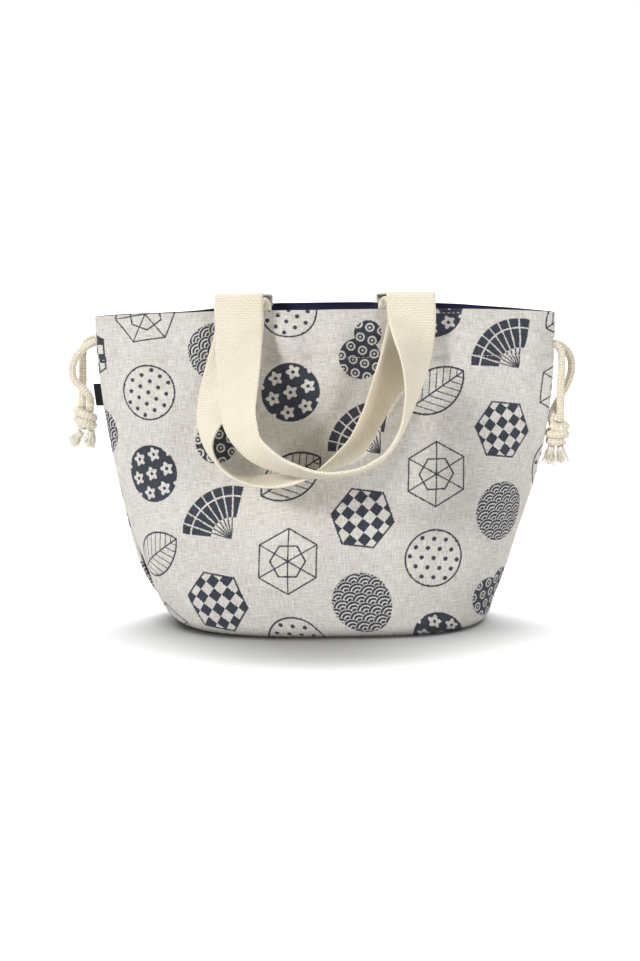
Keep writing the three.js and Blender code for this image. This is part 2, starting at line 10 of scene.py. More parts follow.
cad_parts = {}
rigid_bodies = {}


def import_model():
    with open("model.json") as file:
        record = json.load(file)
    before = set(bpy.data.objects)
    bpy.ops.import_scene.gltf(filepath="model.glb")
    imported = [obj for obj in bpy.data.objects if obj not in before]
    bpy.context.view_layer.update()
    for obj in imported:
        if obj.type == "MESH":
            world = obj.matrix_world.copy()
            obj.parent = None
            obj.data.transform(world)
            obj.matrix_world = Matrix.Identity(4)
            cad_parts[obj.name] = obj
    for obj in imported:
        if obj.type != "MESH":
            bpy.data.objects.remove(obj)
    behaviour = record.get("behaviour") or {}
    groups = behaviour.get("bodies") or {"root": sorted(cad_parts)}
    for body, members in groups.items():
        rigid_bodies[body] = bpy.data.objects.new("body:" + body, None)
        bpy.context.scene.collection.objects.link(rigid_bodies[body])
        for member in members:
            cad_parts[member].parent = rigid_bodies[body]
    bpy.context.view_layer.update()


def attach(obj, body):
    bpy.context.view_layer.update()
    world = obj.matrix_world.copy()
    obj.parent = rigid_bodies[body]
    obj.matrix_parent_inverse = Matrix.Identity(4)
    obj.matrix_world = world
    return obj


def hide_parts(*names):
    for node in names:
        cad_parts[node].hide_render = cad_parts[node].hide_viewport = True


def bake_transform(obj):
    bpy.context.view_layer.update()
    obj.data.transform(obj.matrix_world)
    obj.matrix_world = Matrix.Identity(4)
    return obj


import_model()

# Outer cloth: two panels of natural cotton and linen, cut alike. Each is one face, half of both sides and
# half of the base in one piece. They are sewn together up both sides and along the middle of the base, and
# the mouth's edge is turned in over the lining.
MM = 0.001
bag_height = 200 * MM
mouth_half_width = 144 * MM
mouth_half_depth = 22 * MM
mouth_shift = -3.5 * MM
base_half_width = 100 * MM
base_half_depth = 63 * MM
foot_radius = 9 * MM
seam_half_depth = 5 * MM
least_seam_depth = 0.4 * MM
seam_roundness = 0.7 * MM
seam_groove = 0.5 * MM
corner_droop = 4.8 * MM
droop_height_power = 4
droop_across_power = 3
side_sag = -5 * MM
sag_power = 5
side_curve_power = 2.2
face_curve_power = 1.2
corner_fade = 1.5
mouth_power = 2
base_power_gain = 1.1
mouth_root = 1.15
base_root_gain = 0.95
section_points = 361
cloth_thickness = 0.9 * MM
casing_depth = 30 * MM
cord_drops = {"left": 16.5 * MM, "right": 22 * MM}
exit_slot_height = 7.4 * MM
exit_slot_reach = 5.6 * MM
seams_beyond = 120 * MM
edge_stitch_drop = 2.6 * MM
handle_spacing = 106 * MM
root_inset = 5 * MM
sewn_across = handle_spacing / 2 - root_inset


def ramp(value, low, high):
    """0 up to low, 1 from high on, and a smooth rise between them."""
    share = np.clip((value - low) / (high - low), 0, 1)
    return share * share * (3 - 2 * share)


def hump(value, middle, reach):
    """1 at the middle, falling away smoothly to both sides."""
    return np.exp(-(((value - middle) / reach) ** 2))


def walked(points):
    """How far a line has run at each of its points."""
    return np.concatenate([[0], np.cumsum(np.linalg.norm(np.diff(points, axis=0), axis=1))])


def lean(z):
    """The bag's middle at one height: the mouth stands to the left, and the cloth sags that way low down."""
    height = z / bag_height
    lowest = 1 / (sag_power + 1)
    most = lowest * (1 - lowest) ** sag_power
    return mouth_shift * height + side_sag * height * (1 - height) ** sag_power / most


def seam_droop(z, share=1.0):
    """How far the cloth hangs lower towards the side seams, where share is 1."""
    towards_seam = np.minimum(1, np.abs(share)) ** droop_across_power
    return corner_droop * (z / bag_height) ** droop_height_power * towards_seam


def half_section(z, width_inset=0.0, depth_inset=0.0, floor=0.0):
    """Half of the bag's outline at one height, from the left seam to the right one, and its half width."""
    level = min(max(z, floor), bag_height)
    below = max(0.0, foot_radius - (level - floor))
    foot = foot_radius - math.sqrt(foot_radius**2 - below**2)
    height = level / bag_height
    fall = 1 - height
    corner = fall**corner_fade
    narrowing = (mouth_half_width - base_half_width) * fall**side_curve_power
    width = mouth_half_width - narrowing - foot - width_inset
    belly = (base_half_depth - mouth_half_depth) * (1 - height**face_curve_power)
    depth = mouth_half_depth + belly - foot - depth_inset
    end = max(seam_half_depth - depth_inset, least_seam_depth)
    x = -width * np.cos(np.linspace(0, np.pi, section_points))
    power = mouth_power + base_power_gain * corner
    root = mouth_root + base_root_gain * corner
    bulge = np.clip(1 - (np.abs(x) / width) ** power, 0, 1) ** (1 / root)
    return x, end + (depth - end) * bulge, width


def cloth_row(z, side, columns, width_inset=0.0, depth_inset=0.0, floor=0.0):
    """One row of evenly spaced points along the cloth at one height, and their distance from the middle."""
    x, y, width = half_section(z, width_inset, depth_inset, floor)
    end = y[0]
    turn = np.array([0, 0.12, 0.3, 0.6])
    round_end = width + seam_roundness * np.sin(np.pi * turn) - seam_groove * (1 - turn) ** 4
    x = np.concatenate([-round_end, x, round_end[::-1]])
    y = np.concatenate([end * turn, y, end * turn[::-1]])
    length = walked(np.stack([x, y], axis=1))
    even = np.linspace(0, length[-1], columns + 1)
    x = np.interp(even, length, x)
    y = np.interp(even, length, y)
    points = np.stack([x + lean(z), side * y, z - seam_droop(z, x / width)], axis=1)
    return points, even - length[-1] / 2


def laid_cloth(rows):
    """A wall's points, with their distance across from its middle line and down along that line."""
    walls = np.array([points for points, _ in rows])
    across = np.array([spread for _, spread in rows])
    columns = walls.shape[1]
    drop = walked(walls[:, columns // 2])
    return walls, across, np.repeat(drop[:, None], columns, axis=1)


def grid_normals(points, side):
    across = np.gradient(points, axis=1)
    down = np.gradient(points, axis=0)
    normal = np.cross(across, down) * side
    return normal / np.maximum(np.linalg.norm(normal, axis=2, keepdims=True), 1e-12)


def with_base(face, level, scales):
    """A wall with half of the base below it: its last row at one level, drawn in to the middle."""
    foot = face[-1].copy()
    foot[:, 2] = level
    return np.concatenate([face, [foot * [scale, scale, 1] for scale in scales]])


def cloth_relief(across, drop, phase):
    """How far the cloth stands proud or falls in: the cords in the casing, seams, puckers and slack folds."""
    cord_height = 1.5 * MM
    seam_depth = 1.1 * MM
    pucker_height = 0.2 * MM
    gather_height = 2.4 * MM
    gather_swell = 0.8 * MM
    edge_depth = 0.22 * MM
    edge_wave_height = 0.8 * MM
    # Each slack fold: its height and its waves across and down, in millimetres, and where it starts.
    slack_folds = [
        (1.5, 33, 61, 0.4), (1.1, -26, 47, 2.1), (1.1, 52, -38, 4.0),
        (0.8, 15, 140, 1.2), (0.5, -19, -29, 5.1),
    ]
    cords = cord_height * hump(drop, 19 * MM, 8 * MM) * (0.7 + 0.3 * np.sin(across / (17 * MM) + phase))
    seam = -seam_depth * hump(drop, casing_depth, 1.8 * MM)
    crowded = np.sin(across / (1.9 * MM) + 2.2 * np.sin(across / (16 * MM) + phase))
    puckers = pucker_height * crowded * hump(drop, casing_depth, 7 * MM)
    wander = 1.3 * np.sin(across / (23 * MM) + phase)
    gathers = gather_height * np.sin(across / (6.2 * MM) + wander) + gather_swell
    hanging = gathers * hump(drop, 24 * MM, 17 * MM)
    edge = -edge_depth * hump(drop, edge_stitch_drop, 0.9 * MM)
    edge_wave = edge_wave_height * np.sin(across / (19 * MM) + 1.7 * phase) * hump(drop, 0, 16 * MM)
    folds = np.zeros_like(across)
    for height, run, fall, start in slack_folds:
        folds += height * MM * np.sin(across / (run * MM) + drop / (fall * MM) + start + phase)
    slack = ramp(drop, 24 * MM, 60 * MM) * (1 - ramp(drop, 165 * MM, 200 * MM))
    return cords + seam + puckers + hanging + edge + edge_wave + folds * slack


def pressed_flat(weave_relief_and_shade, across, drop):
    """The front handle rests along a line, given across and down in millimetres, and keeps the cloth flat."""
    pressed_height = 0.4 * MM
    resting_line = [
        (-53, 12), (-58, 33), (-66, 54), (-70, 70), (-70, 84), (-63, 94), (-49, 100), (-34, 101), (-20, 100),
        (-9, 97), (1, 93), (10, 87), (20, 79), (28, 64), (36, 47), (46, 30), (53, 11),
    ]
    nearest = np.full_like(across, 1.0)
    for beside, down in resting_line:
        nearest = np.minimum(nearest, np.hypot(across - beside * MM, drop - down * MM))
    under = 1 - ramp(nearest, 14 * MM, 26 * MM)
    return weave_relief_and_shade - np.maximum(weave_relief_and_shade - pressed_height, 0) * under


def root_swell(across, drop):
    """The cloth stands out over the handles' sewn ends."""
    swell_height = 0.7 * MM
    return swell_height * hump(np.abs(across), sewn_across, 15 * MM) * hump(drop, 4 * MM, 8 * MM)


def rim_rise(across, drop, side):
    """The mouth's edge dips a little in front and rises behind, between the seams, and sags at the left."""
    front_dip = 0.7 * MM
    front_sag = 0.7 * MM
    back_rise = 1.2 * MM
    back_sag = 2.6 * MM
    between = 1 - ramp(np.abs(across), 20 * MM, 140 * MM)
    if side > 0:
        height = back_rise * between - back_sag * hump(across, -88 * MM, 36 * MM)
    else:
        height = -front_dip * between - front_sag * hump(across, -95 * MM, 30 * MM)
    return height * (1 - ramp(drop, 0, 40 * MM))


def joined_mesh(name, points, faces, finish, body=None, layer=None, corners=None):
    """A smooth mesh that rides on a body. corners gives each face's corners' place on the piece as it was
    cut. Faces of more than four corners are cut ends, and their edges stay sharp."""
    weld_distance = 2e-6
    mesh = bpy.data.meshes.new(name)
    mesh.from_pydata([tuple(p) for p in points], [], faces)
    if layer:
        places = [place for face in corners for place in face]
        mesh.uv_layers.new(name=layer).data.foreach_set("uv", np.array(places, np.float32).ravel())
    work = bmesh.new()
    work.from_mesh(mesh)
    bmesh.ops.remove_doubles(work, verts=work.verts, dist=weld_distance)
    bmesh.ops.recalc_face_normals(work, faces=work.faces)
    for face in work.faces:
        face.smooth = True
        if len(face.verts) > 4:
            for edge in face.edges:
                edge.smooth = False
    work.to_mesh(mesh)
    work.free()
    mesh.materials.append(finish)
    piece = bpy.data.objects.new(name, mesh)
    bpy.context.scene.collection.objects.link(piece)
    if body:
        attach(piece, body)
    return piece


def grid_shell(name, outer, inner, finish, place_of, kept=None):
    """A closed sheet on the bag between two grids of points, open where kept is false. place_of gives each
    face's corners' place on the flat cloth."""
    rows, columns = outer.shape[:2]
    if kept is None:
        kept = np.ones((rows - 1, columns - 1), bool)
    number = np.arange(rows * columns).reshape(rows, columns)
    points = np.concatenate([outer.reshape(-1, 3), inner.reshape(-1, 3)])
    behind = rows * columns
    faces = []
    corners = []
    borders = {}
    for row, column in zip(*np.nonzero(kept)):
        spots = [(row, column), (row + 1, column), (row + 1, column + 1), (row, column + 1)]
        ring = [int(number[spot]) for spot in spots]
        flat = [place_of(row, spot) for spot in spots]
        faces.append(ring)
        corners.append(flat)
        faces.append([behind + i for i in ring[::-1]])
        corners.append(flat[::-1])
        for k in range(4):
            a, b = ring[k], ring[(k + 1) % 4]
            if borders.pop((b, a), None) is None:
                borders[(a, b)] = (flat[k], flat[(k + 1) % 4])
    for (a, b), (start, end) in borders.items():
        faces.append([b, a, behind + a, behind + b])
        corners.append([end, start, start, end])
    return joined_mesh(name, points, faces, finish, "bag", "cloth", corners)


class Wire:
    """One value or colour in a material's nodes. Arithmetic on it adds Math nodes."""

    def __init__(self, tree, socket=None):
        self.tree = tree
        self.socket = socket

    def node(self, kind, settings=None, values=None, output=0):
        """Any node, with its settings and what its inputs hold or are fed by, as one of its outputs."""
        made = self.tree.nodes.new("ShaderNode" + kind)
        for name, value in (settings or {}).items():
            setattr(made, name, value)
        for name, value in (values or {}).items():
            if isinstance(value, Wire):
                self.tree.links.new(value.socket, made.inputs[name])
            else:
                made.inputs[name].default_value = value
        return Wire(self.tree, made.outputs[output] if made.outputs else None)

    def math(self, operation, *others):
        return self.node("Math", {"operation": operation}, dict(enumerate((self, *others))))

    def mix(self, low, high):
        return self.node("Mix", {"data_type": "RGBA"}, {0: self, 6: low, 7: high}, 2)

    def clamped(self):
        return self.node("Clamp", {}, {0: self})

    def __add__(self, other):
        return self.math("ADD", other)

    __radd__ = __add__

    def __sub__(self, other):
        return self.math("SUBTRACT", other)

    def __rsub__(self, other):
        return self.node("Math", {"operation": "SUBTRACT"}, {0: other, 1: self})

    def __mul__(self, other):
        return self.math("MULTIPLY", other)

    __rmul__ = __mul__

    def __truediv__(self, other):
        return self.math("DIVIDE", other)

    def __mod__(self, other):
        return self.math("FLOORED_MODULO", other)

    def __abs__(self):
        return self.math("ABSOLUTE")

    def __lt__(self, other):
        return self.math("LESS_THAN", other)


def dye(red, green, blue):
    """A colour as it is seen, in 255ths, as the shader's linear values."""
    seen = [channel / 255 for channel in (red, green, blue)]
    linear = [c / 12.92 if c <= 0.04045 else ((c + 0.055) / 1.055) ** 2.4 for c in seen]
    return (*linear, 1)


def new_finish(name):
    """An empty material and the start of its nodes."""
    material = bpy.data.materials.new(name)
    material.use_nodes = True
    material.node_tree.nodes.clear()
    return material, Wire(material.node_tree)


def fabric_finish(start, colour, height, bump_depth, roughness=0.92, sheen=0.15):
    """The last nodes of a woven material: a rough surface with a little fuzz, and its threads as bump."""
    normal = start.node("Bump", {}, {"Height": height, "Distance": bump_depth, "Strength": 1.0})
    surface = start.node("BsdfPrincipled", {}, {
        "Base Color": colour, "Roughness": roughness, "Normal": normal,
        "Sheen Weight": sheen, "Sheen Roughness": 0.5, "Specular IOR Level": 0.2,
    })
    start.node("OutputMaterial", {}, {"Surface": surface})


def inside(distance):
    """1 where a distance in millimetres is below zero, with a soft edge."""
    soft = 0.4
    spread = {"operation": "MULTIPLY_ADD", "use_clamp": True}
    return distance.node("Math", spread, {0: distance, 1: -1 / soft, 2: 0.5})


def drawn(distance, half_width):
    """A line where a distance is zero."""
    return inside(abs(distance) - half_width)


def fold(value, pitch):
    """A value repeated every pitch, measured from the middle of each repeat."""
    return (value + pitch / 2) % pitch - pitch / 2


def far(x, y):
    return (x * x + y * y).math("SQRT")


def larger(a, b):
    return a.math("MAXIMUM", b)


def smaller(a, b):
    return a.math("MINIMUM", b)


def hexagon(x, y):
    """Distance from the middle of a hexagon, the same along each of its sides."""
    return larger(abs(x), abs(x) * 0.5 + abs(y) * 0.866)


def dotted(x, y, pitch):
    """Distance from the nearest spot of a lattice whose alternate rows are moved by half."""
    row = (y / pitch).math("ROUND")
    return far(fold(x + (row % 2) * (pitch / 2), pitch), fold(y, pitch))


def wave_roundel(x, y, r):
    """A disc of overlapping waves, each of several rings."""
    radius = 18.5
    reach = 6.4
    ring_pitch = 2.15
    rise = reach / 2
    band = (y / rise).math("FLOOR")
    up = y - band * rise
    shift = (band % 2) * reach
    front = far(fold(x + shift + reach, 2 * reach), up + rise)
    back = far(fold(x + shift, 2 * reach), up)
    ring = back + (front < reach) * (front - back)
    return inside(r - radius) * (1 - drawn(fold(ring, ring_pitch), 0.4))


def check_hexagon(x, y, r):
    """A hexagon of square checks with a line round it."""
    radius = 17
    check = 6.2
    edge = hexagon(x, y) - radius
    tile = ((x / check).math("FLOOR") + (y / check).math("FLOOR")) % 2
    return larger(inside(edge) * tile, drawn(edge, 0.55))


def fan(x, y, r):
    """A fan: a pleated sheet with one band, and the sticks below it."""
    hub_drop = 16
    sheet_from = 13.5
    sheet_to = 33
    sheet_turn = 0.86
    stick_turn = 0.78
    pleat_turn = 0.215
    band_at = 26.8
    low = y + hub_drop
    reach = far(x, low)
    turn = x.math("ARCTAN2", low)
    sheet = larger(larger(reach - sheet_to, sheet_from - reach), (abs(turn) - sheet_turn) * reach)
    ribs = drawn(fold(turn, pleat_turn) * reach, 0.42)
    band = drawn(reach - band_at, 0.5)
    sticks = ribs * inside(larger(reach - sheet_from, (abs(turn) - stick_turn) * reach))
    return larger(inside(sheet) * (1 - larger(ribs, band)), sticks)


def plum_roundel(x, y, r):
    """A disc of five-petalled flowers."""
    radius = 18.2
    across_pitch = 11.6
    up_pitch = 11.2
    petal_count = 5
    petal_reach = 3.7
    petal_swell = 0.85
    heart_radius = 1.1
    row = (y / up_pitch).math("ROUND")
    across = fold(x + (row % 2) * (across_pitch / 2), across_pitch)
    up = fold(y, up_pitch)
    reach = far(across, up)
    turn = across.math("ARCTAN2", up)
    petals = inside(reach - petal_reach - petal_swell * (turn * petal_count).math("COSINE"))
    heart = inside(reach - heart_radius)
    return inside(r - radius) * (1 - petals * (1 - heart))


def leaf(x, y, r):
    """A pointed leaf in outline, with its spine and veins."""
    arc_radius = 24
    arc_shift = 11
    vein_pitch = 5.4
    vein_slope = 0.8
    side = abs(x)
    edge = far(side + arc_shift, y) - arc_radius
    veins = drawn(fold(y - side * vein_slope, vein_pitch), 0.42)
    return larger(drawn(edge, 0.6), inside(edge) * larger(drawn(x, 0.5), veins))


def ring_gourd(x, y, r):
    """A gourd of two rounds, with rings and dots left open."""
    lower_radius = 13
    lower_drop = 5.5
    upper_radius = 8.6
    upper_rise = 11
    ring_radius = 2.35
    dot_radius = 0.7
    body = smaller(far(x, y + lower_drop) - lower_radius, far(x, y - upper_rise) - upper_radius)
    spot = dotted(x, y, 7.6)
    rings = larger(drawn(spot - ring_radius, 0.5), inside(spot - dot_radius))
    return inside(body) * (1 - rings)


def spotted_round(x, y, r):
    """A circle in outline, filled with spots."""
    radius = 17.4
    spot_radius = 1.35
    spots = inside(dotted(x, y, 6.6) - spot_radius)
    return larger(drawn(r - radius, 0.55), inside(r - radius) * spots)


def star_lattice(x, y, r):
    """Two hexagons in outline, one turned in the other, and six spokes."""
    edge_radius = 17.5
    inner_radius = 9.4
    half_line = 0.5
    half_spoke = 0.42
    edge = hexagon(x, y) - edge_radius
    inner = hexagon(y, x) - inner_radius
    turn = x.math("ARCTAN2", y)
    spokes = abs((turn * 3).math("SINE")) * r / 3 - half_spoke
    lines = smaller(smaller(abs(edge), abs(inner)) - half_line, spokes)
    return inside(edge - half_line) * inside(lines)


motifs = [wave_roundel, leaf, check_hexagon, plum_roundel, fan, spotted_round, ring_gourd, star_lattice]


def printed_motifs(u, v):
    """Motifs in columns, with every other column moved down by half. Each cell holds one, at its own turn."""
    column_pitch = 45
    row_pitch = 52
    turn_choices = 7
    turn_step = 0.33
    column = (u / column_pitch).math("FLOOR")
    fallen = v + (column % 2) * (row_pitch / 2)
    row = (fallen / row_pitch).math("FLOOR")
    kind = (column * 3 + row * 2) % len(motifs)
    angle = ((column * 2 + row * 3) % turn_choices - turn_choices // 2) * turn_step
    x = fold(u - column_pitch / 2, column_pitch)
    y = fold(fallen - row_pitch / 2, row_pitch)
    sine = angle.math("SINE")
    cosine = angle.math("COSINE")
    turned = (x * cosine - y * sine, x * sine + y * cosine)
    r = far(x, y)
    return sum(kind.math("COMPARE", index, 0.5) * motif(*turned, r) for index, motif in enumerate(motifs))


def flat_place(start, layer="cloth"):
    """Across and along a piece of cloth, in millimetres, as it was cut."""
    place = start.node("UVMap", {"uv_map": layer})
    u = start.node("SeparateXYZ", {}, {0: place}, 0)
    v = start.node("SeparateXYZ", {}, {0: place}, 1)
    return place, u, v


def streaks(start, place, across, along):
    """Uneven yarns: noise that changes at these rates across and along the cloth."""
    stretched = start.node("VectorMath", {"operation": "MULTIPLY"}, {0: place, 1: (across, along, 0)})
    noise = {"Vector": stretched, "Scale": 1.0, "Detail": 2.0, "Roughness": 0.6}
    return start.node("TexNoise", {"noise_dimensions": "2D"}, noise)


def plain_weave(u, v, yarn):
    """Threads that cross over and under each other, with a repeat of yarn millimetres."""
    turn = math.tau / yarn
    return (u * turn).math("SINE") * (v * turn).math("SINE")


printed_linen, start = new_finish("printed_linen")
place, u, v = flat_place(start)
threads = plain_weave(u, v, yarn=0.72)
slubs = streaks(start, place, 1.9, 0.14) + streaks(start, place, 0.14, 1.9)
patches = streaks(start, place, 0.02, 0.02)
tone = ((slubs - 1) * 1.1 + threads * 0.1 + patches * 0.3 + 0.4).clamped()
natural = tone.mix(dye(177, 169, 157), dye(238, 236, 232))
wander = streaks(start, place, 0.9, 0.9) * 0.9 - 0.45
ink = printed_motifs(u + wander, v + wander).clamped()
soak = tone.mix(dye(28, 34, 47), dye(48, 57, 73))
cover = ink * (1.0 - 0.03 * slubs)
fabric_finish(start, cover.mix(natural, soak), threads * 0.5 + slubs * 0.9, bump_depth=0.16 * MM)

# Rows of points lie closer together towards the mouth and round the foot. Their levels are in millimetres.
cloth_columns = 150
foot_turns = np.linspace(-0.3, math.pi / 2, 14).clip(0)
wall_levels = np.concatenate([
    [200, 199.7, 199.2], np.arange(198.4, 160, -1.0), np.arange(160, 12, -2.0),
    foot_radius / MM * (1 - np.sin(foot_turns)),
]) * MM
wall_levels = np.unique(wall_levels)[::-1]
wall_rows = len(wall_levels)
base_scales = np.linspace(1, 0, 22)[1:]
edge_turn = 0.35 * MM
fold_phase = {"front": 0.0, "back": 2.6}
print_offset = {"front": 0, "back": 517}
cloth_panels = {}
for word, side in [("front", -1), ("back", 1)]:
    walls, across, drops = laid_cloth([cloth_row(z, side, cloth_columns) for z in wall_levels])
    normals = grid_normals(walls, side)
    proud = cloth_relief(across, drops, fold_phase[word])
    if word == "front":
        proud = pressed_flat(proud, across, drops)
    proud += root_swell(across, drops)
    tapered = 1 - ramp(np.abs(across), across.max() - 14 * MM, across.max() - 3 * MM)
    turned_edge = -edge_turn * (1 - ramp(drops, 0, 0.9 * MM))
    outer = walls + normals * (proud * tapered + turned_edge)[:, :, None]
    inner = walls + normals * (proud * tapered - turned_edge * 0.5 - cloth_thickness)[:, :, None]
    for face, least in [(outer, 0), (inner, cloth_thickness)]:
        face[:, :, 2] = np.maximum(face[:, :, 2] + rim_rise(across, drops, side), least)
    cloth_panels[word] = (outer, grid_normals(outer, side), across, drops[:, 0])
    below_walls = drops[-1, 0] + np.abs(outer[-1, :, 1]).max()
    outer = with_base(outer, 0, base_scales)
    inner = with_base(inner, cloth_thickness, base_scales)
    middle_of = (outer[:-1, :-1] + outer[1:, 1:]) / 2
    kept = np.ones(middle_of.shape[:2], bool)
    for hand, end in [("left", -1), ("right", 1)]:
        level = bag_height - cord_drops[hand]
        level -= seam_droop(level)
        near_seam = (end * middle_of[:, :, 0] > seams_beyond) & (np.abs(middle_of[:, :, 1]) < exit_slot_reach)
        kept &= ~(near_seam & (np.abs(middle_of[:, :, 2] - level) < exit_slot_height / 2))

    def cut_place(row, spot):
        if row < wall_rows - 1:
            return across[spot] / MM + print_offset[word], -drops[spot] / MM
        x, y = outer[spot][:2]
        return x / MM + print_offset[word], -(below_walls - abs(y)) / MM

    panel = grid_shell(f"outer_{word}_cloth", outer, inner, printed_linen, cut_place, kept)
    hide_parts(f"outer_{word}_panel")

# Lining: plain navy cotton, cut like the outer cloth and dropped inside it. It is sewn to the turned edge of
# the mouth and caught again by the casing seam, and between the two it stands off the cloth to let the cords
# run.
lining_gap = 2.2 * MM
lining_thickness = 0.5 * MM
casing_inset = 7.6 * MM
edge_inset = 0.85 * MM
side_play = 0.6 * MM
cord_turn_setback = 17 * MM
webbing_room = 2.6 * MM
lining_relief = 1.2 * MM
navy_lining, start = new_finish("navy_lining")
place, u, v = flat_place(start)
worn = streaks(start, place, 0.6, 0.6)
navy = worn.mix(dye(13, 17, 36), dye(30, 37, 70))
fabric_finish(start, navy, plain_weave(u, v, yarn=0.6) + worn * 2, bump_depth=0.08 * MM, roughness=0.85)

lining_columns = 120
lining_foot_turns = np.linspace(0, math.pi / 2, 10)
lining_levels = np.concatenate([
    [200.1, 199.4, 198.4], np.arange(197, 150, -1.5), np.arange(150, 14, -3.0),
    (lining_gap + foot_radius * (1 - np.sin(lining_foot_turns))) / MM,
]) * MM
lining_scales = np.linspace(1, 0, 12)[1:]
for word, side in [("front", -1), ("back", 1)]:
    rows = []
    for z in lining_levels:
        drop = bag_height - z
        casing = 1 - ramp(drop, casing_depth, casing_depth + 14 * MM)
        opened = ramp(drop, 0.5 * MM, 9 * MM)
        depth_inset = lining_gap + (edge_inset + (casing_inset - edge_inset) * opened - lining_gap) * casing
        width_inset = lining_gap + side_play + (cord_turn_setback - lining_gap) * casing * opened
        rows.append(cloth_row(z, side, lining_columns, width_inset, depth_inset, lining_gap))
    walls, across, drops = laid_cloth(rows)
    normals = grid_normals(walls, side)
    under_webbing = 1 - ramp(np.abs(np.abs(across) - sewn_across), 14.6 * MM, 17 * MM)
    pushed = -webbing_room * under_webbing * (1 - ramp(drops, 6 * MM, 12 * MM))
    at_rim = 1 - ramp(drops, 5 * MM, 13 * MM)
    below_casing = ramp(drops, casing_depth - 4 * MM, casing_depth + 10 * MM)
    below_casing *= 1 - ramp(drops, 170 * MM, 195 * MM)
    cloth = np.minimum(cloth_relief(across, drops, fold_phase[word]), lining_relief)
    outer = walls + normals * (pushed + cloth * (at_rim + below_casing))[:, :, None]
    outer[:, :, 2] += rim_rise(across, drops, side)
    inner = with_base(outer - normals * lining_thickness, lining_gap + lining_thickness, lining_scales)
    outer = with_base(outer, lining_gap, lining_scales)

    def lining_place(row, spot):
        x, y, z = outer[spot] / MM
        return x, y - z

    panel = grid_shell(f"lining_{word}_cloth", outer, inner, navy_lining, lining_place)
    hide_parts(f"lining_{word}_panel")

# Stitching: off-white cotton thread. One row runs close below the mouth's edge and holds the turned cloth and
# the handles, and a second row closes the casing below the cords.
stitch_length = 2.3 * MM
stitch_pitch = 3.0 * MM
stitch_rise = 0.34 * MM
stitch_sink = 0.16 * MM
stitch_rings = 5
thread_radius = 0.24 * MM
thread_sides = 6
seam_margin = 9 * MM
sewing_thread, start = new_finish("sewing_thread")
twist = start.node("TexWave", {"wave_type": "BANDS"}, {"Scale": 900.0, "Distortion": 0.5})
off_white = twist.mix(dye(196, 192, 184), dye(232, 229, 222))
fabric_finish(start, off_white, twist, bump_depth=0.05 * MM, roughness=0.8)


def on_cloth(word, spread, fall):
    """A place on the outer face of a panel and the way the cloth faces there."""
    points, normals, across, drop = cloth_panels[word]
    row = int(np.argmin(np.abs(drop - fall)))
    place = np.array([np.interp(spread, across[row], points[row, :, k]) for k in range(3)])
    facing = np.array([np.interp(spread, across[row], normals[row, :, k]) for k in range(3)])
    return place, facing / np.linalg.norm(facing)


def ring_of(centre, radius, sides, level, other, start=0.0):
    """Points round a centre, in the plane of two directions."""
    turns = [math.tau * k / sides + start for k in range(sides)]
    return [centre + radius * (math.cos(turn) * level + math.sin(turn) * other) for turn in turns]


def tube_faces(first, rings, sides):
    """The faces of a closed tube whose rings of points are numbered from first on, its two ends last."""
    faces = []
    for ring in range(first, first + sides * (rings - 1), sides):
        for k in range(sides):
            a = ring + k
            b = ring + (k + 1) % sides
            faces.append([a, b, b + sides, a + sides])
    end = first + sides * (rings - 1)
    return faces + [list(range(first, first + sides))[::-1], list(range(end, end + sides))]


def stitch_row(name, word, fall):
    """Stitches along a panel at one distance below its edge, each a thread that rises out of the cloth."""
    reach = cloth_panels[word][2].max() - seam_margin
    points = []
    faces = []
    for spread in np.arange(-reach, reach, stitch_pitch):
        place, facing = on_cloth(word, spread, fall)
        ahead, _ = on_cloth(word, spread + stitch_length, fall)
        along = (ahead - place) / np.linalg.norm(ahead - place)
        level = np.cross(facing, along)
        faces += tube_faces(len(points), stitch_rings, thread_sides)
        for share in np.linspace(0, 1, stitch_rings):
            arch = math.sin(math.pi * share)
            thick = thread_radius * (0.35 + 0.65 * arch)
            centre = place + along * stitch_length * share + facing * (stitch_rise * arch - stitch_sink)
            points += ring_of(centre, thick, thread_sides, level, facing)
    piece = joined_mesh(name, points, faces, sewing_thread, "bag")


for word in cloth_panels:
    stitch_row(f"edge_stitches_{word}", word, edge_stitch_drop)
    stitch_row(f"casing_stitches_{word}", word, casing_depth)

# Side label: a short black woven ribbon, folded double and caught by its two ends in the left side seam. It
# stands out from the seam and bows a little.
label_height = 14 * MM
label_reach = 5.4 * MM
label_level = bag_height - 53 * MM
label_sewn = 0.9 * MM
label_fold_radius = 0.42 * MM
label_bow = 0.5 * MM
ribbon_thickness = 0.34 * MM
ribbon_edge = 0.8 * MM
ribbon_edge_thinning = 0.1 * MM
black_ribbon, start = new_finish("black_ribbon")
place = start.node("TexCoord", {}, {}, "Object")
ribs = start.node("TexWave", {"bands_direction": "Z"}, {"Vector": place, "Scale": 420.0, "Distortion": 0.3})
worn = start.node("TexNoise", {}, {"Vector": place, "Scale": 700.0})
black = worn.mix(dye(9, 9, 11), dye(26, 26, 29))
fabric_finish(start, black, ribs, bump_depth=0.05 * MM, roughness=0.6, sheen=0.03)

